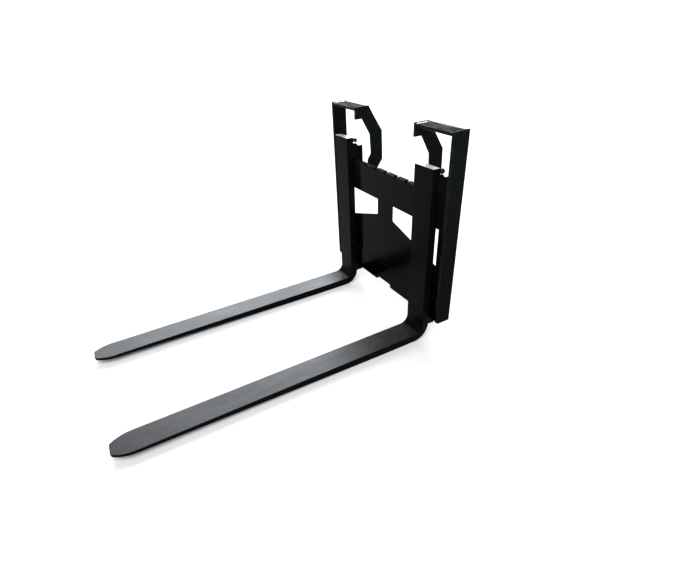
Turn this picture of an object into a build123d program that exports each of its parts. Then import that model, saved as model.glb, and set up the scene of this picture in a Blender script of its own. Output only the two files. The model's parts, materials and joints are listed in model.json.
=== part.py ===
from build123d import *
import os

# Hook-type pallet fork attachment: a two-bar carriage with two L-shaped forks.
# +X is the operator's left, -Y is the way the forks point, +Z is up, all in millimetres.
# Shapes are drawn in the carriage frame: Y = 0 is the front face of the two bars and
# Z = 0 is the underside of the blades. export() moves them so that the origin is the
# centre of the footprint.

os.makedirs("parts", exist_ok=True)

SIDES = (("left", 1), ("right", -1))

# Forks: 48 inch blades of 4 inch wide, 1 1/4 inch thick bar.
BLADE_LENGTH = 1219.0
FORK_WIDTH = 101.6
FORK_THICKNESS = 32.0
HEEL_INNER_RADIUS = 36.0
SHANK_TOP = 699.5
SHANK_CLEARANCE = 0.5
BLADE_FLAT_LENGTH = 200.0
TIP_THICKNESS = 11.5
TIP_TAPER_LENGTH = 76.0
TIP_NOSE_WIDTH = 50.0
TIP_CORNER_RADIUS = 14.0
FORK_EDGE_RADIUS = 2.5
SHANK_TOP_RADIUS = 4.0

# Carriage bars: 20 inches from the bottom of the lower bar to the top of the upper one.
BAR_THICKNESS = 22.0
CARRIAGE_HEIGHT = 508.0
LOWER_BAR_BOTTOM = 99.0
LOWER_BAR_HEIGHT = 100.0
UPPER_BAR_HEIGHT = 122.0
CARRIAGE_INNER_WIDTH = 760.0
PLATE_EDGE_CHAMFER = 1.2

# Fork position notches in the upper bar, and the fork removal notch in the lower bar.
NOTCH_PITCH = 70.4
NOTCHES_EACH_SIDE = 4
NOTCH_WIDTH = 16.0
NOTCH_DEPTH = 9.0
NOTCH_CORNER_RADIUS = 3.0
REMOVAL_NOTCH_WIDTH = 109.0
REMOVAL_NOTCH_HEIGHT = 17.0
REMOVAL_NOTCH_RADIUS = 5.0

# Plates between and beside the bars.
PLATE_SETBACK = 3.0
GUSSET_THICKNESS = 8.0
WEB_WIDTH = 100.0
WEB_ROOT_RADIUS = 8.0
GABLE_TOP = 416.0
GABLE_END = 330.0
SIDE_BAR_WIDTH = 39.0
UPRIGHT_THICKNESS = 10.0
UPRIGHT_FRONT = -11.0
UPRIGHT_REAR = 54.0
UPRIGHT_TOP = 821.0
UPRIGHT_CORNER = 8.0
HEADER_TOP = 818.0
HEADER_THICKNESS = 10.0
HANGER_INNER_FACE = 191.0
HANGER_THICKNESS = 8.0
HANGER_REAR = 121.0
HANGER_CORNER_RADIUS = 5.0

# Fork hooks.
HOOK_WIDTH = 90.0
HOOK_REAR = 47.5
HOOK_TOP = 662.5
BOSS_REAR = 22.0
BOSS_TOP = 672.0
BOSS_ROOT_RADIUS = 6.0
BOSS_EDGE_RADIUS = 3.0
BOSS_END_SLOPE = 9.0
HOOK_GAP = 0.5
LIP_GAP = 0.8
TOP_LIP_DEPTH = 18.0
TOP_HOOK_RADIUS = 8.0
BOTTOM_HOOK_REAR = 43.0
BOTTOM_HOOK_BASE = 60.0
BOTTOM_HOOK_GAP = 1.0
BOTTOM_LIP_HEIGHT = 14.0
BOTTOM_HOOK_CHAMFER = 12.0

# Spring-loaded lock pin with a side handle and ball knob, drawn lifted clear of its notch.
PIN_RADIUS = 6.0
PIN_LIFT = 8.0
PIN_REST_CLEARANCE = 1.0
BORE_CLEARANCE = 0.1
POCKET_RADIUS = 8.5
POCKET_FLOOR = 635.0
COLLAR_RADIUS = 8.2
COLLAR_THICKNESS = 3.0
COLLAR_GAP = 0.2
RETAINER_THICKNESS = 12.0
RETAINER_SLOT = 4.0
RETAINER_CLEARANCE = 0.05
SPRING_WIRE_RADIUS = 0.7
SPRING_RADIUS = 7.3
SPRING_COILS = 5
SPRING_END_GAP = 0.1
HEAD_RADIUS = 9.0
HEAD_HEIGHT = 11.0
HEAD_GAP = 0.5
HANDLE_RADIUS = 4.0
HANDLE_INNER_END = -12.0
HANDLE_OUTER_END = 46.0
HANDLE_END_RADIUS = 2.5
KNOB_CENTRE = 45.0
KNOB_RADIUS = 9.0
KNOB_FLAT = 7.5
KNOB_BORE_END = 47.0
ROLL_PIN_RADIUS = 1.5
ROLL_PIN_WALL = 0.5
ROLL_PIN_LENGTH = 17.0
FIT_CLEARANCE = 0.02

# Worked out from the dimensions above.
UPPER_BAR_TOP = LOWER_BAR_BOTTOM + CARRIAGE_HEIGHT
UPPER_BAR_BOTTOM = UPPER_BAR_TOP - UPPER_BAR_HEIGHT
LOWER_BAR_TOP = LOWER_BAR_BOTTOM + LOWER_BAR_HEIGHT
CARRIAGE_HALF = CARRIAGE_INNER_WIDTH / 2
SIDE_BAR_INNER = CARRIAGE_HALF - SIDE_BAR_WIDTH
FORK_X = NOTCH_PITCH * NOTCHES_EACH_SIDE
SHANK_BACK = -SHANK_CLEARANCE
SHANK_FRONT = SHANK_BACK - FORK_THICKNESS
BLADE_TIP = SHANK_FRONT - BLADE_LENGTH
FOOTPRINT_CENTRE = (BLADE_TIP + HANGER_REAR) / 2
PIN_Y = BAR_THICKNESS / 2
PIN_BOTTOM = UPPER_BAR_TOP + PIN_REST_CLEARANCE
COLLAR_BOTTOM = POCKET_FLOOR + COLLAR_GAP + PIN_LIFT
COLLAR_TOP = COLLAR_BOTTOM + COLLAR_THICKNESS
RETAINER_BOTTOM = BOSS_TOP - RETAINER_THICKNESS
HEAD_BOTTOM = BOSS_TOP + HEAD_GAP + PIN_LIFT
HANDLE_Z = HEAD_BOTTOM + HEAD_HEIGHT / 2

# Hanger plate, one of the two C-shaped plates behind the forks, as (Y, Z) corners.
# Its front edge stands clear of the top hooks, so the forks slide past it.
HANGER_OUTLINE = (
    (-12.0, 821.0),
    (-12.0, 776.0),
    (21.0, 776.0),
    (60.0, 709.0),
    (65.0, 630.0),
    (49.0, 606.0),
    (49.0, 586.0),
    (BAR_THICKNESS, 582.0),
    (BAR_THICKNESS, 487.0),
    (98.0, 569.0),
    (HANGER_REAR, 600.0),
    (117.0, 718.0),
    (78.0, 778.0),
    (52.0, 821.0),
)


def export(shape, name):
    """Write one piece, moved so that the origin is the centre of the footprint."""
    placed = Pos(0, -FOOTPRINT_CENTRE, 0) * shape
    placed.label = name
    export_step(placed, f"parts/{name}.step")


def block(x_limits, y_limits, z_limits):
    """Rectangular block between three pairs of limits."""
    limits = [sorted(pair) for pair in (x_limits, y_limits, z_limits)]
    size = [high - low for low, high in limits]
    centre = [(high + low) / 2 for low, high in limits]
    return Pos(*centre) * Box(*size)


def side_cut(outline, x_limits):
    """Solid with a (Y, Z) outline, between two X limits."""
    low, high = sorted(x_limits)
    face = Plane.YZ.offset(low) * make_face(Polyline(*outline, close=True))
    return extrude(face, amount=high - low)


def front_cut(outline, y_limits):
    """Solid with an (X, Z) outline, between two Y limits."""
    low, high = sorted(y_limits)
    face = Plane.XZ.offset(-high) * make_face(Polyline(*outline, close=True))
    return extrude(face, amount=high - low)


def rod(x, y, radius, z_limits):
    """Upright cylinder between two Z limits."""
    low, high = z_limits
    return Pos(x, y, (low + high) / 2) * Cylinder(radius, high - low)


def handle_rod(x, radius, offsets):
    """Cylinder along X through the lock pin's head, between two offsets from the pin."""
    low, high = offsets
    return Pos(x + (low + high) / 2, PIN_Y, HANDLE_Z) * Rot(0, 90, 0) * Cylinder(radius, high - low)


def roll_pin_bore(x, radius, length):
    """Cylinder along Y, centred on the lock pin's head."""
    return Pos(x, PIN_Y, HANDLE_Z) * Rot(90, 0, 0) * Cylinder(radius, length)


def upper_carriage_bar():
    """Upper bar with the row of notches that the fork lock pins drop into."""
    bar = block(
        (-CARRIAGE_HALF, CARRIAGE_HALF),
        (0, BAR_THICKNESS),
        (UPPER_BAR_BOTTOM, UPPER_BAR_TOP),
    )
    bar = chamfer(bar.edges().filter_by(Axis.X), PLATE_EDGE_CHAMFER)
    cutter = block(
        (-NOTCH_WIDTH / 2, NOTCH_WIDTH / 2),
        (-1, BAR_THICKNESS + 1),
        (UPPER_BAR_TOP - NOTCH_DEPTH, UPPER_BAR_TOP + NOTCH_DEPTH),
    )
    cutter = fillet(cutter.edges().filter_by(Axis.Y), NOTCH_CORNER_RADIUS)
    for step in range(-NOTCHES_EACH_SIDE, NOTCHES_EACH_SIDE + 1):
        bar -= Pos(step * NOTCH_PITCH, 0, 0) * cutter
    return bar


def lower_carriage_bar():
    """Lower bar, notched in the middle so that a fork's bottom hook can leave."""
    bar = block(
        (-CARRIAGE_HALF, CARRIAGE_HALF),
        (0, BAR_THICKNESS),
        (LOWER_BAR_BOTTOM, LOWER_BAR_TOP),
    )
    bar = chamfer(bar.edges().filter_by(Axis.X), PLATE_EDGE_CHAMFER)
    cutter = block(
        (-REMOVAL_NOTCH_WIDTH / 2, REMOVAL_NOTCH_WIDTH / 2),
        (-1, BAR_THICKNESS + 1),
        (LOWER_BAR_BOTTOM - REMOVAL_NOTCH_HEIGHT, LOWER_BAR_BOTTOM + REMOVAL_NOTCH_HEIGHT),
    )
    cutter = fillet(cutter.edges().filter_by(Axis.Y), REMOVAL_NOTCH_RADIUS)
    return bar - cutter


def centre_gusset_plate():
    """Centre web that widens into a gable-topped plate on the lower bar."""
    half_web = WEB_WIDTH / 2
    right_half = [
        (half_web, UPPER_BAR_BOTTOM),
        (half_web, GABLE_TOP),
        (SIDE_BAR_INNER, GABLE_END),
        (SIDE_BAR_INNER, LOWER_BAR_TOP),
    ]
    left_half = [(-x, z) for x, z in reversed(right_half)]
    plate = front_cut(right_half + left_half, (PLATE_SETBACK, PLATE_SETBACK + GUSSET_THICKNESS))
    web_roots = [
        edge
        for edge in plate.edges().filter_by(Axis.Y)
        if abs(edge.center().Z - GABLE_TOP) < 1
    ]
    return fillet(web_roots, WEB_ROOT_RADIUS)


def side_bar(sign):
    """Upright bar that joins the two carriage bars beside the upright."""
    bar = block(
        (sign * SIDE_BAR_INNER, sign * CARRIAGE_HALF),
        (PLATE_SETBACK, BAR_THICKNESS),
        (LOWER_BAR_TOP, UPPER_BAR_BOTTOM),
    )
    return chamfer(bar.edges().filter_by(Axis.Z), PLATE_EDGE_CHAMFER)


def upright(sign):
    """Tall side plate of the carriage, its lower front corner cut back."""
    outline = [
        (UPRIGHT_FRONT, UPRIGHT_TOP),
        (UPRIGHT_FRONT, LOWER_BAR_BOTTOM + UPRIGHT_CORNER),
        (UPRIGHT_FRONT + UPRIGHT_CORNER, LOWER_BAR_BOTTOM),
        (UPRIGHT_REAR, LOWER_BAR_BOTTOM),
        (UPRIGHT_REAR, UPRIGHT_TOP),
    ]
    plate = side_cut(outline, (sign * CARRIAGE_HALF, sign * (CARRIAGE_HALF + UPRIGHT_THICKNESS)))
    outer_face = plate.faces().filter_by(Axis.X).sort_by(Axis.X)[-1 if sign > 0 else 0]
    return chamfer(outer_face.edges(), PLATE_EDGE_CHAMFER)


def header_plate(sign):
    """Flat top plate between a hanger plate and an upright."""
    plate = block(
        (sign * (HANGER_INNER_FACE + HANGER_THICKNESS), sign * CARRIAGE_HALF),
        (UPRIGHT_FRONT, UPRIGHT_REAR),
        (HEADER_TOP - HEADER_THICKNESS, HEADER_TOP),
    )
    return chamfer(plate.edges().filter_by(Axis.X), PLATE_EDGE_CHAMFER)


def hanger_plate(sign):
    """C-shaped plate that stands on the back of the upper bar and carries the header."""
    x_limits = (sign * HANGER_INNER_FACE, sign * (HANGER_INNER_FACE + HANGER_THICKNESS))
    plate = side_cut(HANGER_OUTLINE, x_limits)
    bends = [edge for edge in plate.edges().filter_by(Axis.X) if edge.center().Y > HOOK_REAR]
    return fillet(bends, HANGER_CORNER_RADIUS)


def fork(sign):
    """L-shaped fork: flat on top, tapered from below and rounded in plan at the tip."""
    outer_radius = HEEL_INNER_RADIUS + FORK_THICKNESS
    heel_y = SHANK_BACK - outer_radius
    taper_start = SHANK_FRONT - BLADE_FLAT_LENGTH
    tip_bottom = FORK_THICKNESS - TIP_THICKNESS
    with BuildPart() as body:
        with BuildSketch(Plane.YZ):
            with BuildLine():
                Line((SHANK_FRONT, SHANK_TOP), (SHANK_BACK, SHANK_TOP))
                Line((SHANK_BACK, SHANK_TOP), (SHANK_BACK, outer_radius))
                CenterArc((heel_y, outer_radius), outer_radius, 0, -90)
                Line((heel_y, 0), (taper_start, 0))
                Line((taper_start, 0), (BLADE_TIP, tip_bottom))
                Line((BLADE_TIP, tip_bottom), (BLADE_TIP, FORK_THICKNESS))
                Line((BLADE_TIP, FORK_THICKNESS), (heel_y, FORK_THICKNESS))
                CenterArc((heel_y, outer_radius), HEEL_INNER_RADIUS, -90, 90)
                Line((SHANK_FRONT, outer_radius), (SHANK_FRONT, SHANK_TOP))
            make_face()
        extrude(amount=FORK_WIDTH / 2, both=True)
    solid = body.part & tip_plan()
    top_edges = solid.edges().filter_by(Axis.X).group_by(Axis.Z)[-1]
    solid = fillet(top_edges, SHANK_TOP_RADIUS)
    return Pos(sign * FORK_X, 0, 0) * soften(solid)


def tip_plan():
    """Prism as wide as a fork, its front end drawn in to the narrow nose."""
    half = FORK_WIDTH / 2
    half_nose = TIP_NOSE_WIDTH / 2
    taper_start = BLADE_TIP + TIP_TAPER_LENGTH
    with BuildPart() as body:
        with BuildSketch(Plane.XY.offset(-1)):
            with BuildLine():
                Line((half, 1), (half, taper_start))
                TangentArc((half, taper_start), (half_nose, BLADE_TIP), tangent=(0, -1))
                Line((half_nose, BLADE_TIP), (-half_nose, BLADE_TIP))
                TangentArc((-half, taper_start), (-half_nose, BLADE_TIP), tangent=(0, -1))
                Line((-half, taper_start), (-half, 1))
                Line((-half, 1), (half, 1))
            make_face()
        extrude(amount=SHANK_TOP + 2)
        nose_corners = body.edges().filter_by(Axis.Z).group_by(Axis.Y)[0]
        fillet(nose_corners, TIP_CORNER_RADIUS)
    return body.part


def soften(solid):
    """Round the long edges of a fork, which run along its two side faces."""
    side_faces = [
        face
        for face in solid.faces().filter_by(Axis.X)
        if abs(abs(face.center().X) - FORK_WIDTH / 2) < 0.01
    ]
    edges = []
    for face in side_faces:
        edges += [edge for edge in face.edges() if edge.center().Y > BLADE_TIP + TIP_TAPER_LENGTH + 1]
    return fillet(edges, FORK_EDGE_RADIUS)


def top_hook(sign):
    """Hook that hangs a fork on the upper bar, with a slope-ended boss bored for the lock pin."""
    x = sign * FORK_X
    slot_top = UPPER_BAR_TOP + HOOK_GAP
    lip_front = BAR_THICKNESS + LIP_GAP
    outline = [
        (SHANK_BACK, BOSS_TOP),
        (SHANK_BACK, slot_top),
        (lip_front, slot_top),
        (lip_front, UPPER_BAR_TOP - TOP_LIP_DEPTH),
        (HOOK_REAR, UPPER_BAR_TOP - TOP_LIP_DEPTH),
        (HOOK_REAR, HOOK_TOP),
        (BOSS_REAR, HOOK_TOP),
        (BOSS_REAR, BOSS_TOP),
    ]
    hook = side_cut(outline, (x - HOOK_WIDTH / 2, x + HOOK_WIDTH / 2))
    for corner, radius in (
        ((HOOK_REAR, HOOK_TOP), TOP_HOOK_RADIUS),
        ((BOSS_REAR, HOOK_TOP), BOSS_ROOT_RADIUS),
        ((BOSS_REAR, BOSS_TOP), BOSS_EDGE_RADIUS),
    ):
        edge = hook.edges().filter_by(Axis.X).sort_by_distance((x, *corner))[0]
        hook = fillet(edge, radius)
    for end in (-1, 1):
        end_x = x + end * HOOK_WIDTH / 2
        slope = [
            (end_x - end * BOSS_END_SLOPE, BOSS_TOP),
            (end_x, BOSS_TOP - BOSS_END_SLOPE),
            (end_x + end, BOSS_TOP - BOSS_END_SLOPE),
            (end_x + end, BOSS_TOP + 1),
            (end_x - end * BOSS_END_SLOPE, BOSS_TOP + 1),
        ]
        hook -= front_cut(slope, (SHANK_BACK - 1, BOSS_REAR + 1))
    hook -= rod(x, PIN_Y, PIN_RADIUS + BORE_CLEARANCE, (slot_top - 1, BOSS_TOP + 1))
    hook -= rod(x, PIN_Y, POCKET_RADIUS, (POCKET_FLOOR, BOSS_TOP + 1))
    return hook


def bottom_hook(sign):
    """Hook that reaches under the lower bar and up behind it."""
    slot_bottom = LOWER_BAR_BOTTOM - BOTTOM_HOOK_GAP
    lip_front = BAR_THICKNESS + BOTTOM_HOOK_GAP
    outline = [
        (SHANK_BACK, slot_bottom),
        (SHANK_BACK, BOTTOM_HOOK_BASE),
        (BOTTOM_HOOK_REAR - BOTTOM_HOOK_CHAMFER, BOTTOM_HOOK_BASE),
        (BOTTOM_HOOK_REAR, BOTTOM_HOOK_BASE + BOTTOM_HOOK_CHAMFER),
        (BOTTOM_HOOK_REAR, LOWER_BAR_BOTTOM + BOTTOM_LIP_HEIGHT),
        (lip_front, LOWER_BAR_BOTTOM + BOTTOM_LIP_HEIGHT),
        (lip_front, slot_bottom),
    ]
    x_limits = (sign * FORK_X - HOOK_WIDTH / 2, sign * FORK_X + HOOK_WIDTH / 2)
    hook = side_cut(outline, x_limits)
    lip_edges = hook.edges().filter_by(Axis.X).group_by(Axis.Z)[-1]
    return chamfer(lip_edges, PLATE_EDGE_CHAMFER)


def lock_pin(sign):
    """Stem with a chamfered foot, a spring collar and a cross-drilled head."""
    x = sign * FORK_X
    stem = rod(x, PIN_Y, PIN_RADIUS, (PIN_BOTTOM, HEAD_BOTTOM))
    stem = chamfer(stem.edges().group_by(Axis.Z)[0], PLATE_EDGE_CHAMFER)
    collar = rod(x, PIN_Y, COLLAR_RADIUS, (COLLAR_BOTTOM, COLLAR_TOP))
    head = rod(x, PIN_Y, HEAD_RADIUS, (HEAD_BOTTOM, HEAD_BOTTOM + HEAD_HEIGHT))
    head = chamfer(head.edges().filter_by(GeomType.CIRCLE), PLATE_EDGE_CHAMFER)
    pin = stem + collar + head
    pin -= handle_rod(x, HANDLE_RADIUS + FIT_CLEARANCE, (-2 * HEAD_RADIUS, 2 * HEAD_RADIUS))
    return pin - roll_pin_bore(x, ROLL_PIN_RADIUS, 4 * HEAD_RADIUS)


def lock_handle(sign):
    """Side rod of the lock pin, rounded at its inner end and drilled for its roll pin."""
    x = sign * FORK_X
    bar = handle_rod(x, HANDLE_RADIUS, (HANDLE_INNER_END, HANDLE_OUTER_END))
    bar = fillet(bar.edges().filter_by(GeomType.CIRCLE).sort_by(Axis.X)[0], HANDLE_END_RADIUS)
    return bar - roll_pin_bore(x, ROLL_PIN_RADIUS, 4 * HEAD_RADIUS)


def handle_knob(sign):
    """Ball knob with a flat face, bored to fit over the outer end of the handle."""
    x = sign * FORK_X
    flat_x = x + KNOB_CENTRE - KNOB_FLAT
    knob = Pos(x + KNOB_CENTRE, PIN_Y, HANDLE_Z) * Sphere(KNOB_RADIUS)
    knob -= block(
        (flat_x - KNOB_RADIUS, flat_x),
        (PIN_Y - KNOB_RADIUS, PIN_Y + KNOB_RADIUS),
        (HANDLE_Z - KNOB_RADIUS, HANDLE_Z + KNOB_RADIUS),
    )
    return knob - handle_rod(x, HANDLE_RADIUS + FIT_CLEARANCE, (0, KNOB_BORE_END))


def handle_roll_pin(sign):
    """Split spring tube that fixes the handle in the head of the pin."""
    x = sign * FORK_X
    tube = roll_pin_bore(x, ROLL_PIN_RADIUS - FIT_CLEARANCE, ROLL_PIN_LENGTH)
    tube -= roll_pin_bore(x, ROLL_PIN_RADIUS - ROLL_PIN_WALL, 2 * ROLL_PIN_LENGTH)
    slit = Pos(x, PIN_Y, HANDLE_Z + ROLL_PIN_RADIUS) * Box(ROLL_PIN_WALL, 2 * ROLL_PIN_LENGTH, 2)
    return tube - slit


def lock_spring(sign):
    """Compression spring between the collar and the retainer, squeezed while the pin is up."""
    bottom = COLLAR_TOP + SPRING_END_GAP + SPRING_WIRE_RADIUS
    top = RETAINER_BOTTOM - SPRING_END_GAP - SPRING_WIRE_RADIUS
    coil = Helix(pitch=(top - bottom) / SPRING_COILS, height=top - bottom, radius=SPRING_RADIUS)
    wire = Plane(origin=coil @ 0, z_dir=coil % 0) * Circle(SPRING_WIRE_RADIUS)
    spring = sweep(wire, path=coil, is_frenet=True)
    return Pos(sign * FORK_X, PIN_Y, bottom) * spring


def pin_retainer(sign):
    """Slotted screw plug that closes the spring pocket in the top hook."""
    x = sign * FORK_X
    slot_half = RETAINER_SLOT / 2
    plug = rod(x, PIN_Y, POCKET_RADIUS - RETAINER_CLEARANCE, (RETAINER_BOTTOM, BOSS_TOP))
    plug -= rod(x, PIN_Y, PIN_RADIUS + BORE_CLEARANCE, (RETAINER_BOTTOM - 1, BOSS_TOP + 1))
    return plug - block(
        (x - 2 * POCKET_RADIUS, x + 2 * POCKET_RADIUS),
        (PIN_Y - slot_half, PIN_Y + slot_half),
        (BOSS_TOP - RETAINER_SLOT, BOSS_TOP + 1),
    )


CENTRE_PIECES = (upper_carriage_bar, lower_carriage_bar, centre_gusset_plate)
SIDE_PIECES = (
    side_bar,
    upright,
    header_plate,
    hanger_plate,
    fork,
    top_hook,
    bottom_hook,
    lock_pin,
    lock_handle,
    handle_knob,
    handle_roll_pin,
    lock_spring,
    pin_retainer,
)

for build_piece in CENTRE_PIECES:
    export(build_piece(), build_piece.__name__)

for side_name, side_sign in SIDES:
    for build_piece in SIDE_PIECES:
        export(build_piece(side_sign), f"{side_name}_{build_piece.__name__}")
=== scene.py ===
import json
import math
import random

import bmesh
import bpy
from mathutils import Matrix, Vector


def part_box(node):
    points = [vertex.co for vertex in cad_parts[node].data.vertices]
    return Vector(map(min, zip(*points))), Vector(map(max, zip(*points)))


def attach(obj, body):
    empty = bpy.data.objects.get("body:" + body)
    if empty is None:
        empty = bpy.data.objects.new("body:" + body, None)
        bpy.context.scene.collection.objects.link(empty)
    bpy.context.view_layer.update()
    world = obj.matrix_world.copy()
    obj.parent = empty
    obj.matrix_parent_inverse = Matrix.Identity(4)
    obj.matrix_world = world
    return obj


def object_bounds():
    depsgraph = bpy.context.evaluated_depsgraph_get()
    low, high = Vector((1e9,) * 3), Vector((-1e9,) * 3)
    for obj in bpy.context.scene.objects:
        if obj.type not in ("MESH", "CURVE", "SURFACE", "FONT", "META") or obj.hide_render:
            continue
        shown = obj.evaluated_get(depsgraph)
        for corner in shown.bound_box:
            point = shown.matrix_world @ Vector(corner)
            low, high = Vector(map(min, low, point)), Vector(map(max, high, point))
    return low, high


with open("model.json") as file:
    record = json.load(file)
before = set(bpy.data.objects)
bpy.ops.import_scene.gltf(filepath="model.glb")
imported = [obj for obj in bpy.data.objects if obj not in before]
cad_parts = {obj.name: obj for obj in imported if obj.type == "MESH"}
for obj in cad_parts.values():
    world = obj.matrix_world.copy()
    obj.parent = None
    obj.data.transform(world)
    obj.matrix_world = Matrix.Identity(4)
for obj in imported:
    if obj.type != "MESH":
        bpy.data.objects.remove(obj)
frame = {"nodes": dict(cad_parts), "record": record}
CAD_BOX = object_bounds()

# Everything is in metres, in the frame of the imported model:
# +Z up, the blades point along -Y, left is +X.

MM = 0.001
SIDES = (("left", 1), ("right", -1))
AXIS_X = Vector((1, 0, 0))
AXIS_Y = Vector((0, 1, 0))
AXIS_Z = Vector((0, 0, 1))

# Weld legs: a plate fillet, a fillet on smaller pieces, over a butt joint, and on a shank's back.
FILLET_LEG = 6.0 * MM
SMALL_LEG = 5.0 * MM
BUTT_LEG = 4.0 * MM
SHANK_LEG = 4.2 * MM

# The broad beads over the header plates, as a leg and a share of the step up to the next
# plate, and the share of the step between a side bar and a carriage bar that a bead fills.
HEADER_BEAD_LEG = 1.8 * FILLET_LEG
HEADER_BEAD_RISE = 0.92
SIDE_BAR_STEP_FILL = 0.85

# How far a bead stops short of a seam's end, a corner, an edge, another bead and a lock pin.
SEAM_END_GAP = 6.0 * MM
CORNER_GAP = 3.0 * MM
EDGE_GAP = 2.0 * MM
BESIDE_BEAD_GAP = 7.0 * MM
PIN_ROOM = 16.0 * MM

# Stitch beads. Their ends are shares of each one's stretch of a side bar, and their centres
# and length are shares of half the gusset plate's width.
SIDE_BAR_STITCHES = 2
STITCH_ENDS = (0.18, 0.82)
GUSSET_STITCH_CENTRES = (-0.82, -0.42, 0.0, 0.42, 0.82)
GUSSET_STITCH_LENGTH = 0.20

# Sizes inside the nodes, which their boxes don't give.
HANGER_SEAM_TOP = 95.0 * MM
GUSSET_EDGE_HEIGHT = 131.0 * MM
BOSS_END_SLOPE = 9.0 * MM
HEEL_REACH = 68.0 * MM
WEB_HALF_WIDTH = 50.0 * MM

# Heights over the floor where a finish, a painted shade or light, or a painted highlight starts to
# show and where it shows in full.
# The carriage coat goes from painted shade near the floor to painted light towards the top.
COAT_PAINTED_SHADE_TO_LIGHT = (0.12, 0.80)
HEADER_FADE = (0.70, 0.78)
# The fork tops' painted highlight shows above this height.
TOP_HIGHLIGHT_FADE = (0.60, 0.65)
BLADE_FADE = (0.10, 0.05)

# The blade tops' finish also fades in along the blade, from behind the front end of the
# heel's bend to ahead of it.
HEEL_FADE_BEHIND = 30 * MM
HEEL_FADE_AHEAD = 110 * MM

# Colours, as linear RGB. A pair is a finish's two shades, which mottle or lines mix.
# The carriage coat's two pairs: the low one darkened as painted shade near the floor, the high one
# lightened as painted light towards the top.
CARRIAGE_COAT_PAINTED_SHADE = ((0.0001, 0.0002, 0.0002), (0.0004, 0.0006, 0.0006))
CARRIAGE_COAT_PAINTED_LIGHT = ((0.0054, 0.0068, 0.0070), (0.0080, 0.0095, 0.0098))
CARRIAGE_SCUFF = (0.060, 0.063, 0.065)
CARRIAGE_CHIP = (0.10, 0.10, 0.10)
FORK_COAT = ((0.0020, 0.0028, 0.0036), (0.0038, 0.0048, 0.0058))
BLADE_TOP = ((0.042, 0.044, 0.047), (0.077, 0.079, 0.082))
FORK_CHIP = (0.12, 0.12, 0.12)
# Painted highlight in bright steel grey, on the shank ends and the top hooks' upward faces.
TOP_PAINTED_HIGHLIGHT = ((0.40, 0.40, 0.41), (0.62, 0.62, 0.63))
# Black paint and a painted highlight in bright metal grey, for the beads over the header plates.
WELD_PAINTED_HIGHLIGHT = ((0.0020, 0.0030, 0.0028), (0.62, 0.62, 0.63))
BLACKENED_STEEL = ((0.030, 0.031, 0.033), (0.075, 0.074, 0.072))
BARE_STEEL = (0.34, 0.34, 0.35)
KNOB_BLACK = ((0.004, 0.004, 0.0045), (0.012, 0.012, 0.013))
DRAWN_STEEL = ((0.46, 0.46, 0.47), (0.25, 0.23, 0.21))
FLOOR_GREY = ((0.80, 0.80, 0.80), (0.82, 0.82, 0.82))


# ---------------------------------------------------------------- materials


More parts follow.
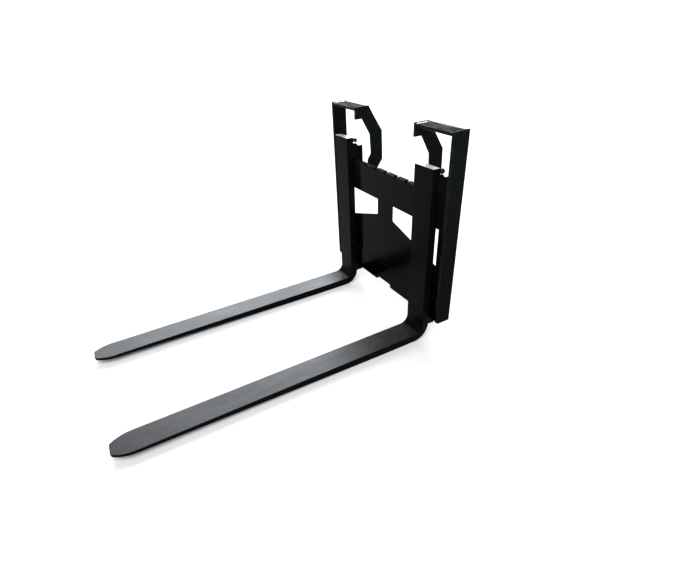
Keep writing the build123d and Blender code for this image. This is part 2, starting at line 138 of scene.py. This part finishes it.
class Graph:
    """One material's node tree, with short calls for the nodes used here."""

    def __init__(self, name):
        self.material = bpy.data.materials.new(name)
        self.material.use_nodes = True
        self.tree = self.material.node_tree
        self.tree.nodes.clear()
        self.place = self.add("ShaderNodeTexCoord").outputs["Object"]
        self.facing = self.add("ShaderNodeTexCoord").outputs["Normal"]

    def add(self, kind, **values):
        """A new node, with its settings."""
        node = self.tree.nodes.new(kind)
        for key, value in values.items():
            setattr(node, key, value)
        return node

    def set(self, socket, value):
        """Link an output to a socket, or give the socket a plain value."""
        if isinstance(value, bpy.types.NodeSocket):
            self.tree.links.new(value, socket)
        else:
            socket.default_value = value

    def noise(self, scale, detail=3.0, roughness=0.55, stretch=None):
        """Noise from 0 to 1. stretch gives the scale of each axis."""
        vector = self.place
        if stretch:
            mapping = self.add("ShaderNodeMapping")
            self.set(mapping.inputs["Vector"], vector)
            mapping.inputs["Scale"].default_value = stretch
            vector = mapping.outputs["Vector"]
        node = self.add("ShaderNodeTexNoise")
        self.set(node.inputs["Vector"], vector)
        node.inputs["Scale"].default_value = scale
        node.inputs["Detail"].default_value = detail
        node.inputs["Roughness"].default_value = roughness
        return node.outputs["Fac"]

    def ramp(self, value, low, high, to_low=0.0, to_high=1.0):
        """Value mapped smoothly from low..high to to_low..to_high, and held beyond them."""
        node = self.add("ShaderNodeMapRange", interpolation_type="SMOOTHSTEP")
        self.set(node.inputs["Value"], value)
        for key, number in (
            ("From Min", low),
            ("From Max", high),
            ("To Min", to_low),
            ("To Max", to_high),
        ):
            node.inputs[key].default_value = number
        return node.outputs["Result"]

    def math(self, operation, first, second):
        """Two values or outputs combined, such as by MULTIPLY or MAXIMUM."""
        node = self.add("ShaderNodeMath", operation=operation)
        self.set(node.inputs[0], first)
        self.set(node.inputs[1], second)
        return node.outputs[0]

    def mix(self, share, first, second):
        """Colour mix. A plain colour is three numbers."""
        node = self.add("ShaderNodeMix", data_type="RGBA")
        self.set(node.inputs["Factor"], share)
        for key, value in ((6, first), (7, second)):
            if isinstance(value, tuple):
                value = (*value, 1.0)
            self.set(node.inputs[key], value)
        return node.outputs[2]

    def upward(self):
        """1 on faces that look up, 0 on the others."""
        split = self.add("ShaderNodeSeparateXYZ")
        self.set(split.inputs[0], self.facing)
        return self.ramp(split.outputs["Z"], 0.80, 0.97)

    def axis(self, name):
        """Position along one axis of the model, in metres."""
        split = self.add("ShaderNodeSeparateXYZ")
        self.set(split.inputs[0], self.place)
        return split.outputs[name]

    def height_fade(self, start, end):
        """0 at height start over the floor and before it, and 1 from height end on."""
        return self.ramp(self.axis("Z"), start, end)

    def edges(self, radius, low=0.02, high=0.16):
        """1 on sharp edges and corners, where a rounded normal leaves the true one."""
        bevel = self.add("ShaderNodeBevel", samples=4)
        bevel.inputs["Radius"].default_value = radius
        true_normal = self.add("ShaderNodeNewGeometry").outputs["Normal"]
        dot = self.add("ShaderNodeVectorMath", operation="DOT_PRODUCT")
        self.set(dot.inputs[0], bevel.outputs["Normal"])
        self.set(dot.inputs[1], true_normal)
        return self.ramp(self.math("SUBTRACT", 1.0, dot.outputs["Value"]), low, high)

    def bump(self, layers):
        """Bump from (noise output, height in metres) pairs, laid one over another."""
        normal = None
        for height, size in layers:
            node = self.add("ShaderNodeBump")
            node.inputs["Strength"].default_value = 1.0
            node.inputs["Distance"].default_value = size
            self.set(node.inputs["Height"], height)
            if normal:
                self.set(node.inputs["Normal"], normal)
            normal = node.outputs["Normal"]
        return normal

    def finish(self, colour, roughness, metallic, normal, specular, tint=(1.0, 1.0, 1.0)):
        """The material, with its shader. specular and tint are plain values, so they export."""
        shader = self.add("ShaderNodeBsdfPrincipled")
        self.set(shader.inputs["Base Color"], colour)
        self.set(shader.inputs["Roughness"], roughness)
        self.set(shader.inputs["Metallic"], metallic)
        self.set(shader.inputs["Normal"], normal)
        shader.inputs["Specular IOR Level"].default_value = specular
        shader.inputs["Specular Tint"].default_value = (*tint, 1.0)
        output = self.add("ShaderNodeOutputMaterial")
        self.set(output.inputs["Surface"], shader.outputs[0])
        return self.material


def carriage_paint():
    """Black enamel sprayed on rolled plate: faint waves, orange peel, scuffed header tops, and a
    coat darkened near the floor as painted shade and lightened towards the top as painted light.
    """
    g = Graph("carriage_paint")
    broad = g.noise(2.3, 3.0)
    mottle = g.noise(24.0, 5.0, 0.62)
    streaks = g.noise(1.0, 4.0, 0.6, stretch=(9.0, 130.0, 60.0))
    up = g.upward()
    chips = g.ramp(g.noise(75.0, 4.0, 0.7), 0.38, 0.56)
    worn = g.math("MULTIPLY", g.edges(1.6 * MM), chips)
    header_top = g.math("MULTIPLY", up, g.height_fade(*HEADER_FADE))
    scuffed = g.math("MULTIPLY", header_top, g.ramp(streaks, 0.46, 0.60))
    blotches = g.ramp(mottle, 0.35, 0.75)
    # Painted shade near the floor and painted light towards the top: the coat darkens downwards
    # and lightens upwards.
    painted_shade_coat = g.mix(blotches, *CARRIAGE_COAT_PAINTED_SHADE)
    painted_light_coat = g.mix(blotches, *CARRIAGE_COAT_PAINTED_LIGHT)
    colour = g.mix(g.height_fade(*COAT_PAINTED_SHADE_TO_LIGHT), painted_shade_coat, painted_light_coat)
    colour = g.mix(scuffed, colour, CARRIAGE_SCUFF)
    colour = g.mix(worn, colour, CARRIAGE_CHIP)
    broad_roughness = g.ramp(broad, 0.3, 0.7, 0.08, 0.14)
    dust = g.math("MULTIPLY", up, g.ramp(streaks, 0.40, 0.62, 0.70, 0.40))
    roughness = g.math("ADD", broad_roughness, g.ramp(mottle, 0.3, 0.7, 0.0, 0.06))
    roughness = g.math("ADD", roughness, dust)
    metallic = g.math("MULTIPLY", worn, 0.5)
    normal = g.bump(
        (
            (g.noise(7.0, 2.0), 1.4 * MM),
            (g.noise(46.0, 3.0), 0.18 * MM),
            (g.noise(420.0, 2.0), 0.018 * MM),
        )
    )
    return g.finish(colour, roughness, metallic, normal, specular=0.031, tint=(0.86, 1.0, 0.97))


def fork_paint():
    """Black paint on forged steel: rubbed, grainy blade tops, and a painted highlight in bright
    steel grey on the tops above them.

    The painted highlight lies on the ends of the shanks and the upward faces of the top hooks.
    """
    g = Graph("fork_paint")
    broad = g.noise(1.9, 3.0)
    mottle = g.noise(30.0, 6.0, 0.66)
    grain = g.noise(170.0, 4.0, 0.7)
    drag = g.noise(1.0, 5.0, 0.65, stretch=(160.0, 5.0, 160.0))
    rolled = g.noise(1.0, 4.0, 0.6, stretch=(70.0, 3.0, 3.0))
    highlight_lines = g.noise(1.0, 4.0, 0.6, stretch=(14.0, 420.0, 60.0))
    up = g.upward()
    # Painted highlight: bright, part-metallic steel grey on upward faces above the fade height.
    painted_highlight_top = g.math("MULTIPLY", up, g.height_fade(*TOP_HIGHLIGHT_FADE))
    heel_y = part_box("left_fork")[1].y - HEEL_REACH
    past_heel = g.ramp(g.axis("Y"), heel_y + HEEL_FADE_BEHIND, heel_y - HEEL_FADE_AHEAD, 0.30, 1.0)
    blade = g.math("MULTIPLY", up, g.height_fade(*BLADE_FADE))
    blade = g.math("MULTIPLY", blade, past_heel)
    chips = g.ramp(g.noise(60.0, 4.0, 0.7), 0.45, 0.62)
    worn = g.math("MULTIPLY", g.edges(2.2 * MM, 0.03, 0.2), chips)
    rubbed = g.math("MULTIPLY", blade, g.ramp(drag, 0.40, 0.70, 0.60, 1.0))
    patches = g.ramp(mottle, 0.30, 0.72, 0.45, 1.0)
    speckle = g.math("MULTIPLY", patches, g.ramp(grain, 0.30, 0.62, 0.35, 1.0))
    colour = g.mix(g.ramp(mottle, 0.35, 0.75), *FORK_COAT)
    colour = g.mix(blade, colour, g.mix(speckle, *BLADE_TOP))
    colour = g.mix(painted_highlight_top, colour, g.mix(g.ramp(highlight_lines, 0.35, 0.62), *TOP_PAINTED_HIGHLIGHT))
    colour = g.mix(worn, colour, FORK_CHIP)
    metallic = g.math("MAXIMUM", rubbed, g.math("MULTIPLY", painted_highlight_top, 0.5))
    metallic = g.math("MAXIMUM", metallic, g.math("MULTIPLY", worn, 0.6))
    broad_roughness = g.ramp(broad, 0.3, 0.7, 0.22, 0.30)
    roughness = g.math("ADD", broad_roughness, g.ramp(mottle, 0.3, 0.7, 0.0, 0.12))
    roughness = g.math("ADD", roughness, g.math("MULTIPLY", up, 0.10))
    normal = g.bump(
        (
            (g.noise(6.0, 2.0), 1.2 * MM),
            (rolled, 0.25 * MM),
            (g.noise(38.0, 4.0), 0.22 * MM),
            (grain, 0.05 * MM),
            (g.noise(360.0, 2.0), 0.025 * MM),
        )
    )
    return g.finish(colour, roughness, metallic, normal, specular=0.030, tint=(0.94, 0.98, 1.0))


def rubbed_weld():
    """Paint over a weld bead, with patches of painted highlight in bright metal grey."""
    g = Graph("rubbed_weld")
    patches = g.noise(150.0, 4.0, 0.7)
    highlight_share = g.ramp(patches, 0.40, 0.56)
    colour = g.mix(highlight_share, *WELD_PAINTED_HIGHLIGHT)
    roughness = g.ramp(patches, 0.3, 0.7, 0.22, 0.42)
    metallic = g.math("MULTIPLY", highlight_share, 0.6)
    normal = g.bump(((g.noise(520.0, 3.0), 0.03 * MM),))
    return g.finish(colour, roughness, metallic, normal, specular=0.1)


def blackened_steel():
    """Oiled black steel of the lock pins, rubbed bright where it is handled."""
    g = Graph("blackened_steel")
    mottle = g.noise(120.0, 5.0, 0.65)
    worn = g.math("MULTIPLY", g.edges(0.8 * MM), g.ramp(g.noise(300.0, 3.0), 0.40, 0.62))
    colour = g.mix(g.ramp(mottle, 0.35, 0.7), *BLACKENED_STEEL)
    colour = g.mix(worn, colour, BARE_STEEL)
    roughness = g.ramp(mottle, 0.3, 0.7, 0.30, 0.48)
    normal = g.bump(((g.noise(700.0, 3.0), 0.02 * MM),))
    return g.finish(colour, roughness, 0.9, normal, specular=0.5)


def knob_plastic():
    """Glossy black moulded plastic, scratched and dulled by gloves."""
    g = Graph("knob_plastic")
    scratches = g.noise(1.0, 5.0, 0.7, stretch=(300.0, 900.0, 900.0))
    smudge = g.noise(110.0, 3.0)
    colour = g.mix(g.ramp(smudge, 0.35, 0.7), *KNOB_BLACK)
    smudged = g.ramp(smudge, 0.3, 0.7, 0.14, 0.28)
    roughness = g.math("ADD", smudged, g.ramp(scratches, 0.55, 0.75, 0.0, 0.2))
    normal = g.bump(((scratches, 0.01 * MM),))
    return g.finish(colour, roughness, 0.0, normal, specular=0.5)


def drawn_steel():
    """Bright drawn wire and turned plugs, with fine lines round them."""
    g = Graph("drawn_steel")
    lines = g.noise(1.0, 3.0, stretch=(60.0, 60.0, 1800.0))
    stain = g.noise(90.0, 4.0)
    colour = g.mix(g.ramp(stain, 0.4, 0.75), *DRAWN_STEEL)
    roughness = g.ramp(lines, 0.3, 0.7, 0.24, 0.42)
    normal = g.bump(((lines, 0.012 * MM),))
    return g.finish(colour, roughness, 1.0, normal, specular=0.5)


def floor_finish():
    """Plain pale floor with hardly any texture."""
    g = Graph("studio_floor")
    cloud = g.noise(0.9, 3.0)
    colour = g.mix(g.ramp(cloud, 0.3, 0.7), *FLOOR_GREY)
    roughness = g.ramp(cloud, 0.3, 0.7, 0.85, 0.92)
    normal = g.bump(((g.noise(60.0, 3.0), 0.05 * MM),))
    return g.finish(colour, roughness, 0.0, normal, specular=0.2)


MATERIAL_OF_SLOT = {
    "carriage_paint": carriage_paint(),
    "fork_paint": fork_paint(),
    "pin_steel": blackened_steel(),
    "knob_plastic": knob_plastic(),
    "spring_steel": drawn_steel(),
}
WELD_HIGHLIGHT_MATERIAL = rubbed_weld()


def dress(piece, material):
    """Put one material in all of a piece's slots."""
    if not piece.data.materials:
        piece.data.materials.append(material)
    for slot in piece.material_slots:
        slot.material = material


def dress_cad_nodes():
    """Give every CAD node the material of its slot in the record."""
    for subpart in frame["record"]["subparts"]:
        dress(frame["nodes"][subpart["node"]], MATERIAL_OF_SLOT[subpart["material_slot"]])


# ---------------------------------------------------------------- weld beads

# A bead is a row of sections, RING_STEP apart, with its root sunk into the corner.
RING_STEP = 0.85 * MM
FACE_POINTS = 9
ROOT_DEPTH = 1.0 * MM

# Its face bulges by a share of its leg, less between ripples and more on them, and the
# crown of each ripple runs ahead of its toes.
RIPPLE_PITCH = 3.4 * MM
RIPPLE_LEAD = 0.8 * RIPPLE_PITCH
SWELL_SHARE = 0.30
LEAST_SWELL = 0.55
RIPPLE_SWELL = 0.75

# Its size, as a share of the leg, drifts about a mean and falls to END_SIZE of that over
# the last TAPER_LEGS legs.
MEAN_SIZE = 0.90
SIZE_DRIFT = 0.05
DRIFT_STEP = 4 * RIPPLE_PITCH
END_SIZE = 0.35
TAPER_LEGS = 1.2


def bead_section(along_a, along_b, outward, leg_a, leg_b, swell):
    """Points of one bead section: a bulged face from toe to toe, then a buried root."""
    toe_a = along_a * leg_a
    toe_b = along_b * leg_b
    crown = (toe_a + toe_b) / 2 + outward * swell
    points = []
    for step in range(FACE_POINTS):
        t = step / (FACE_POINTS - 1)
        points.append(toe_a * (1 - t) ** 2 + crown * 2 * t * (1 - t) + toe_b * t**2)
    buried = -outward * ROOT_DEPTH
    return points + [toe_b + buried, buried, toe_a + buried]


def weld_bead(name, start, end, along_a, along_b, legs, body, slot, outward=None):
    """A rippled weld bead along the straight corner from start to end.

    along_a and along_b run over the two plates, away from the corner.
    """
    outward = (outward or (along_a + along_b)).normalized()
    run = end - start
    length = run.length
    forward = run / length
    rng = random.Random(name)
    phase = rng.uniform(0, RIPPLE_PITCH)
    drift = [rng.uniform(-1, 1) for _ in range(int(length / DRIFT_STEP) + 3)]
    leg_a, leg_b = legs
    swell = SWELL_SHARE * min(leg_a, leg_b)
    rings = max(8, int(length / RING_STEP))
    mesh = bmesh.new()
    loops = []
    for ring in range(rings + 1):
        s = length * ring / rings
        ripple = abs(math.sin(math.pi * (s + phase) / RIPPLE_PITCH))
        knot = s / DRIFT_STEP
        index = int(knot)
        slow = drift[index] + (drift[index + 1] - drift[index]) * (knot - index)
        from_end = min(s, length - s) / (TAPER_LEGS * max(legs))
        taper = math.sqrt(max(0.0, 1 - (1 - min(1.0, from_end)) ** 2))
        size = (MEAN_SIZE + SIZE_DRIFT * slow) * (END_SIZE + (1 - END_SIZE) * taper)
        section = bead_section(
            along_a,
            along_b,
            outward,
            leg_a * size,
            leg_b * size,
            swell * (LEAST_SWELL + RIPPLE_SWELL * ripple) * size,
        )
        loop = []
        for number, point in enumerate(section):
            t = min(1.0, number / (FACE_POINTS - 1))
            lead = RIPPLE_LEAD * (4 * t * (1 - t)) if number < FACE_POINTS else 0.0
            shift = min(max(s + lead * taper, 0.0), length)
            loop.append(mesh.verts.new(start + forward * shift + point))
        loops.append(loop)
    count = len(loops[0])
    for near, far in zip(loops, loops[1:]):
        for i in range(count):
            j = (i + 1) % count
            mesh.faces.new((near[i], near[j], far[j], far[i]))
    mesh.faces.new(list(reversed(loops[0])))
    mesh.faces.new(loops[-1])
    bmesh.ops.recalc_face_normals(mesh, faces=mesh.faces)
    for face in mesh.faces:
        face.smooth = True
    for near, far in zip(loops, loops[1:]):
        for toe in (0, FACE_POINTS - 1):
            edge = mesh.edges.get((near[toe], far[toe]))
            edge.smooth = False
    data = bpy.data.meshes.new(name)
    mesh.to_mesh(data)
    mesh.free()
    bead = bpy.data.objects.new(name, data)
    bpy.context.scene.collection.objects.link(bead)
    dress(bead, MATERIAL_OF_SLOT[slot])
    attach(bead, body)
    return bead


def facing_x(box, sign, inner):
    """The X of a piece's inner or outer face, on the side that sign gives."""
    low, high = sorted((abs(box[0].x), abs(box[1].x)))
    return sign * (low if inner else high)


def carriage_seam(name, start, end, along_a, along_b, legs, outward=None):
    """A weld bead on the carriage, in its paint."""
    return weld_bead(
        name,
        Vector(start),
        Vector(end),
        along_a,
        along_b,
        legs,
        "carriage",
        "carriage_paint",
        outward,
    )


def upright_welds(side, sign):
    """Beads where an upright meets the two carriage bars and the side bar."""
    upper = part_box("upper_carriage_bar")
    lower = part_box("lower_carriage_bar")
    side_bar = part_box(f"{side}_side_bar")
    x = facing_x(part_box(f"{side}_upright"), sign, inner=True)
    inward = -sign * AXIS_X
    gap = SEAM_END_GAP
    both = (FILLET_LEG, FILLET_LEG)
    for bar_name, bar in (("upper", upper), ("lower", lower)):
        low_z, high_z = bar[0].z + 1.5 * gap, bar[1].z - gap
        for face, y, out in (("front", bar[0].y, -AXIS_Y), ("rear", bar[1].y, AXIS_Y)):
            name = f"{side}_upright_{bar_name}_bar_{face}_weld"
            carriage_seam(name, (x, y, low_z), (x, y, high_z), inward, out, both)
    span = (side_bar[1].z - side_bar[0].z) / SIDE_BAR_STITCHES
    for number in range(SIDE_BAR_STITCHES):
        low_z, high_z = (side_bar[0].z + span * (number + share) for share in STITCH_ENDS)
        for face, y, out in (("front", side_bar[0].y, -AXIS_Y), ("rear", side_bar[1].y, AXIS_Y)):
            name = f"{side}_side_bar_{face}_weld_{number + 1}"
            legs = (SMALL_LEG, SMALL_LEG)
            carriage_seam(name, (x, y, low_z), (x, y, high_z), inward, out, legs)


def side_bar_end_welds(side, sign):
    """Short beads across both ends of a side bar."""
    side_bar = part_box(f"{side}_side_bar")
    step = side_bar[0].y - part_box("upper_carriage_bar")[0].y
    inner_x = facing_x(side_bar, sign, inner=True) + sign * EDGE_GAP
    outer_x = facing_x(side_bar, sign, inner=False) - sign * BESIDE_BEAD_GAP
    for end_name, z, away in (("top", side_bar[1].z, -AXIS_Z), ("foot", side_bar[0].z, AXIS_Z)):
        front_y, rear_y = side_bar[0].y, side_bar[1].y
        carriage_seam(
            f"{side}_side_bar_{end_name}_front_weld",
            (inner_x, front_y, z),
            (outer_x, front_y, z),
            -AXIS_Y,
            away,
            (SIDE_BAR_STEP_FILL * step, SMALL_LEG),
        )
        carriage_seam(
            f"{side}_side_bar_{end_name}_rear_weld",
            (inner_x, rear_y, z),
            (outer_x, rear_y, z),
            AXIS_Z,
            -AXIS_Z,
            (BUTT_LEG, BUTT_LEG),
            outward=AXIS_Y,
        )


def gusset_side_welds(side, sign):
    """Beads along the short upright edge of the gusset plate, at the side bar."""
    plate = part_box("centre_gusset_plate")
    side_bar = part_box(f"{side}_side_bar")
    x = facing_x(side_bar, sign, inner=True)
    low_z = plate[0].z + SEAM_END_GAP
    high_z = plate[0].z + GUSSET_EDGE_HEIGHT - SEAM_END_GAP
    inward = -sign * AXIS_X
    carriage_seam(
        f"{side}_gusset_edge_front_weld",
        (x, plate[0].y, low_z),
        (x, plate[0].y, high_z),
        inward,
        -inward,
        (BUTT_LEG, BUTT_LEG),
        outward=-AXIS_Y,
    )
    carriage_seam(
        f"{side}_gusset_edge_rear_weld",
        (x, plate[1].y, low_z),
        (x, plate[1].y, high_z),
        inward,
        AXIS_Y,
        (SMALL_LEG, SMALL_LEG),
    )


def gusset_base_welds():
    """Stitch beads behind the gusset plate, on the lower bar and under the upper bar."""
    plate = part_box("centre_gusset_plate")
    rear_y = plate[1].y
    half = plate[1].x
    stitch = GUSSET_STITCH_LENGTH * half
    for number, centre in enumerate(GUSSET_STITCH_CENTRES):
        x = centre * half
        carriage_seam(
            f"gusset_foot_weld_{number + 1}",
            (x - stitch / 2, rear_y, plate[0].z),
            (x + stitch / 2, rear_y, plate[0].z),
            AXIS_Y,
            AXIS_Z,
            (FILLET_LEG, FILLET_LEG),
        )
    reach = WEB_HALF_WIDTH - CORNER_GAP
    carriage_seam(
        "web_top_weld",
        (-reach, rear_y, plate[1].z),
        (reach, rear_y, plate[1].z),
        AXIS_Y,
        -AXIS_Z,
        (FILLET_LEG, FILLET_LEG),
    )


def hanger_welds(side, sign):
    """Beads on both faces of a hanger plate, where it stands on the back of the upper bar."""
    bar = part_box("upper_carriage_bar")
    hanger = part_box(f"{side}_hanger_plate")
    low_z = hanger[0].z + SEAM_END_GAP
    high_z = hanger[0].z + HANGER_SEAM_TOP - SEAM_END_GAP
    for face, inner, away in (("inner", True, -sign * AXIS_X), ("outer", False, sign * AXIS_X)):
        x = facing_x(hanger, sign, inner)
        carriage_seam(
            f"{side}_hanger_{face}_weld",
            (x, bar[1].y, low_z),
            (x, bar[1].y, high_z),
            away,
            AXIS_Y,
            (FILLET_LEG, FILLET_LEG),
        )


def header_welds(side, sign):
    """Beads over and under a header plate, at the upright and at the hanger plate."""
    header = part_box(f"{side}_header_plate")
    ends = (
        ("upright", "upright", False, -sign * AXIS_X),
        ("hanger", "hanger_plate", True, sign * AXIS_X),
    )
    for end_name, neighbour_name, inner, along in ends:
        x = facing_x(header, sign, inner)
        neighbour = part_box(f"{side}_{neighbour_name}")
        low_y = max(header[0].y, neighbour[0].y) + EDGE_GAP
        high_y = header[1].y - 2 * EDGE_GAP
        rise = HEADER_BEAD_RISE * (neighbour[1].z - header[1].z)
        bead = carriage_seam(
            f"{side}_header_{end_name}_top_weld",
            (x, low_y, header[1].z),
            (x, high_y, header[1].z),
            along,
            AXIS_Z,
            (HEADER_BEAD_LEG, rise),
        )
        # The top beads get patches of painted highlight in bright metal grey.
        dress(bead, WELD_HIGHLIGHT_MATERIAL)
        carriage_seam(
            f"{side}_header_{end_name}_under_weld",
            (x, low_y, header[0].z),
            (x, high_y, header[0].z),
            along,
            -AXIS_Z,
            (SMALL_LEG, SMALL_LEG),
        )


def fork_seam(name, start, end, along_a, along_b, legs, side):
    """A weld bead on one fork, in its paint."""
    weld_bead(
        name,
        Vector(start),
        Vector(end),
        along_a,
        along_b,
        legs,
        f"{side}_fork",
        "fork_paint",
    )


def hook_side_welds(side, hook_name, low_z, high_z):
    """Beads up both sides of a hook, at the back of the shank."""
    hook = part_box(f"{side}_{hook_name}")
    for edge, x, away in (("right", hook[0].x, -AXIS_X), ("left", hook[1].x, AXIS_X)):
        fork_seam(
            f"{side}_{hook_name}_{edge}_weld",
            (x, hook[0].y, low_z),
            (x, hook[0].y, high_z),
            away,
            AXIS_Y,
            (SHANK_LEG, SMALL_LEG),
            side,
        )


def top_hook_welds(side):
    """Beads along the hook's sides, over its sloped shoulders and beside the lock pin."""
    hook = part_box(f"{side}_top_hook")
    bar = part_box("upper_carriage_bar")
    side_top = hook[1].z - BOSS_END_SLOPE - CORNER_GAP
    hook_side_welds(side, "top_hook", bar[1].z + 2 * EDGE_GAP, side_top)
    back_y, top_z = hook[0].y, hook[1].z
    centre = (hook[0].x + hook[1].x) / 2
    for end_name, end, end_x in (("right", -1, hook[0].x), ("left", 1, hook[1].x)):
        corner_x = end_x - end * BOSS_END_SLOPE
        fork_seam(
            f"{side}_top_hook_cap_{end_name}_weld",
            (centre + end * PIN_ROOM, back_y, top_z),
            (corner_x, back_y, top_z),
            AXIS_Z,
            AXIS_Y,
            (SMALL_LEG, SMALL_LEG),
            side,
        )
        fork_seam(
            f"{side}_top_hook_shoulder_{end_name}_weld",
            (corner_x, back_y, top_z),
            (end_x, back_y, top_z - BOSS_END_SLOPE),
            (end * AXIS_X + AXIS_Z).normalized(),
            AXIS_Y,
            (SMALL_LEG, SMALL_LEG),
            side,
        )


def bottom_hook_welds(side):
    """Beads along the sides and the underside of the bottom hook."""
    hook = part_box(f"{side}_bottom_hook")
    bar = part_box("lower_carriage_bar")
    hook_side_welds(side, "bottom_hook", hook[0].z + CORNER_GAP, bar[0].z - 2 * EDGE_GAP)
    fork_seam(
        f"{side}_bottom_hook_cap_weld",
        (hook[0].x + EDGE_GAP, hook[0].y, hook[0].z),
        (hook[1].x - EDGE_GAP, hook[0].y, hook[0].z),
        -AXIS_Z,
        AXIS_Y,
        (SMALL_LEG, SMALL_LEG),
        side,
    )


# ---------------------------------------------------------------- studio

FLOOR_HALF_SIZE = 120.0

# The sky's colours by height, where 0 is level and 1 is straight up.
SKY_HORIZON = (0.02, (1.1, 1.1, 1.1, 1))
SKY_MIDDLE = (0.35, (0.62, 0.62, 0.63, 1))
SKY_ZENITH = (1.0, (0.35, 0.35, 0.36, 1))

# Camera angles in degrees: azimuth from -Y towards +X, elevation, and roll.
CAMERA_ANGLES = (63.29, 35.43, -3.96)
CAMERA_PLACE = (1.460, -0.435, 1.145)
SENSOR_WIDTH_MM = 36.0
LENS_MM = 22.93
LENS_SHIFT = (0.0129, 0.0489)
VIEW_DISTANCE = 500.0
VIEW_GAMMA = 0.87


def studio_floor():
    """A floor that reaches the horizon, at the height of the blades' undersides."""
    half = FLOOR_HALF_SIZE
    mesh = bpy.data.meshes.new("floor")
    z = CAD_BOX[0].z
    corners = [(-half, -half, z), (half, -half, z), (half, half, z), (-half, half, z)]
    mesh.from_pydata(corners, [], [(0, 1, 2, 3)])
    floor = bpy.data.objects.new("floor", mesh)
    bpy.context.scene.collection.objects.link(floor)
    dress(floor, floor_finish())


def studio_world():
    """A pale backdrop, white at the horizon and softer grey overhead."""
    world = bpy.data.worlds.new("studio")
    world.use_nodes = True
    tree = world.node_tree
    tree.nodes.clear()
    direction = tree.nodes.new("ShaderNodeTexCoord")
    split = tree.nodes.new("ShaderNodeSeparateXYZ")
    ramp = tree.nodes.new("ShaderNodeValToRGB")
    background = tree.nodes.new("ShaderNodeBackground")
    output = tree.nodes.new("ShaderNodeOutputWorld")
    tree.links.new(direction.outputs["Generated"], split.inputs[0])
    tree.links.new(split.outputs["Z"], ramp.inputs["Fac"])
    tree.links.new(ramp.outputs["Color"], background.inputs["Color"])
    tree.links.new(background.outputs[0], output.inputs["Surface"])
    horizon, zenith = ramp.color_ramp.elements
    horizon.position, horizon.color = SKY_HORIZON
    zenith.position, zenith.color = SKY_ZENITH
    middle_height, middle_colour = SKY_MIDDLE
    middle = ramp.color_ramp.elements.new(middle_height)
    middle.color = middle_colour
    bpy.context.scene.world = world


def sun(name, strength, angle, azimuth, elevation):
    """A broad distant light. Azimuth turns from -X towards +Y, in degrees."""
    light = bpy.data.lights.new(name, "SUN")
    light.energy = strength
    light.angle = math.radians(angle)
    lamp = bpy.data.objects.new(name, light)
    bpy.context.scene.collection.objects.link(lamp)
    turn = math.radians(azimuth)
    tilt = math.radians(elevation)
    source = Vector(
        (
            -math.cos(turn) * math.cos(tilt),
            math.sin(turn) * math.cos(tilt),
            math.sin(tilt),
        )
    )
    lamp.rotation_mode = "QUATERNION"
    lamp.rotation_quaternion = source.to_track_quat("Z", "Y")


def studio_camera():
    """The photograph's viewing angle: high over the left blade, turned slightly."""
    azimuth, elevation, roll = (math.radians(angle) for angle in CAMERA_ANGLES)
    back = Vector(
        (
            math.sin(azimuth) * math.cos(elevation),
            -math.cos(azimuth) * math.cos(elevation),
            math.sin(elevation),
        )
    )
    level = Vector((math.cos(azimuth), math.sin(azimuth), 0))
    rise = back.cross(level)
    right = level * math.cos(roll) + rise * math.sin(roll)
    up = rise * math.cos(roll) - level * math.sin(roll)
    data = bpy.data.cameras.new("camera")
    data.sensor_width = SENSOR_WIDTH_MM
    data.lens = LENS_MM
    data.shift_x, data.shift_y = LENS_SHIFT
    data.clip_end = VIEW_DISTANCE
    camera = bpy.data.objects.new("camera", data)
    bpy.context.scene.collection.objects.link(camera)
    camera.rotation_mode = "QUATERNION"
    camera.rotation_quaternion = Matrix((right, up, back)).transposed().to_quaternion()
    camera.location = CAMERA_PLACE
    bpy.context.scene.camera = camera


dress_cad_nodes()
gusset_base_welds()
for side_name, side_sign in SIDES:
    upright_welds(side_name, side_sign)
    side_bar_end_welds(side_name, side_sign)
    gusset_side_welds(side_name, side_sign)
    hanger_welds(side_name, side_sign)
    header_welds(side_name, side_sign)
    top_hook_welds(side_name)
    bottom_hook_welds(side_name)

studio_floor()
studio_world()
sun("key", strength=4.4, angle=50.0, azimuth=18.0, elevation=27.0)
sun("fill", strength=2.4, angle=60.0, azimuth=215.0, elevation=55.0)
studio_camera()
bpy.context.scene.view_settings.view_transform = "Standard"
bpy.context.scene.view_settings.gamma = VIEW_GAMMA
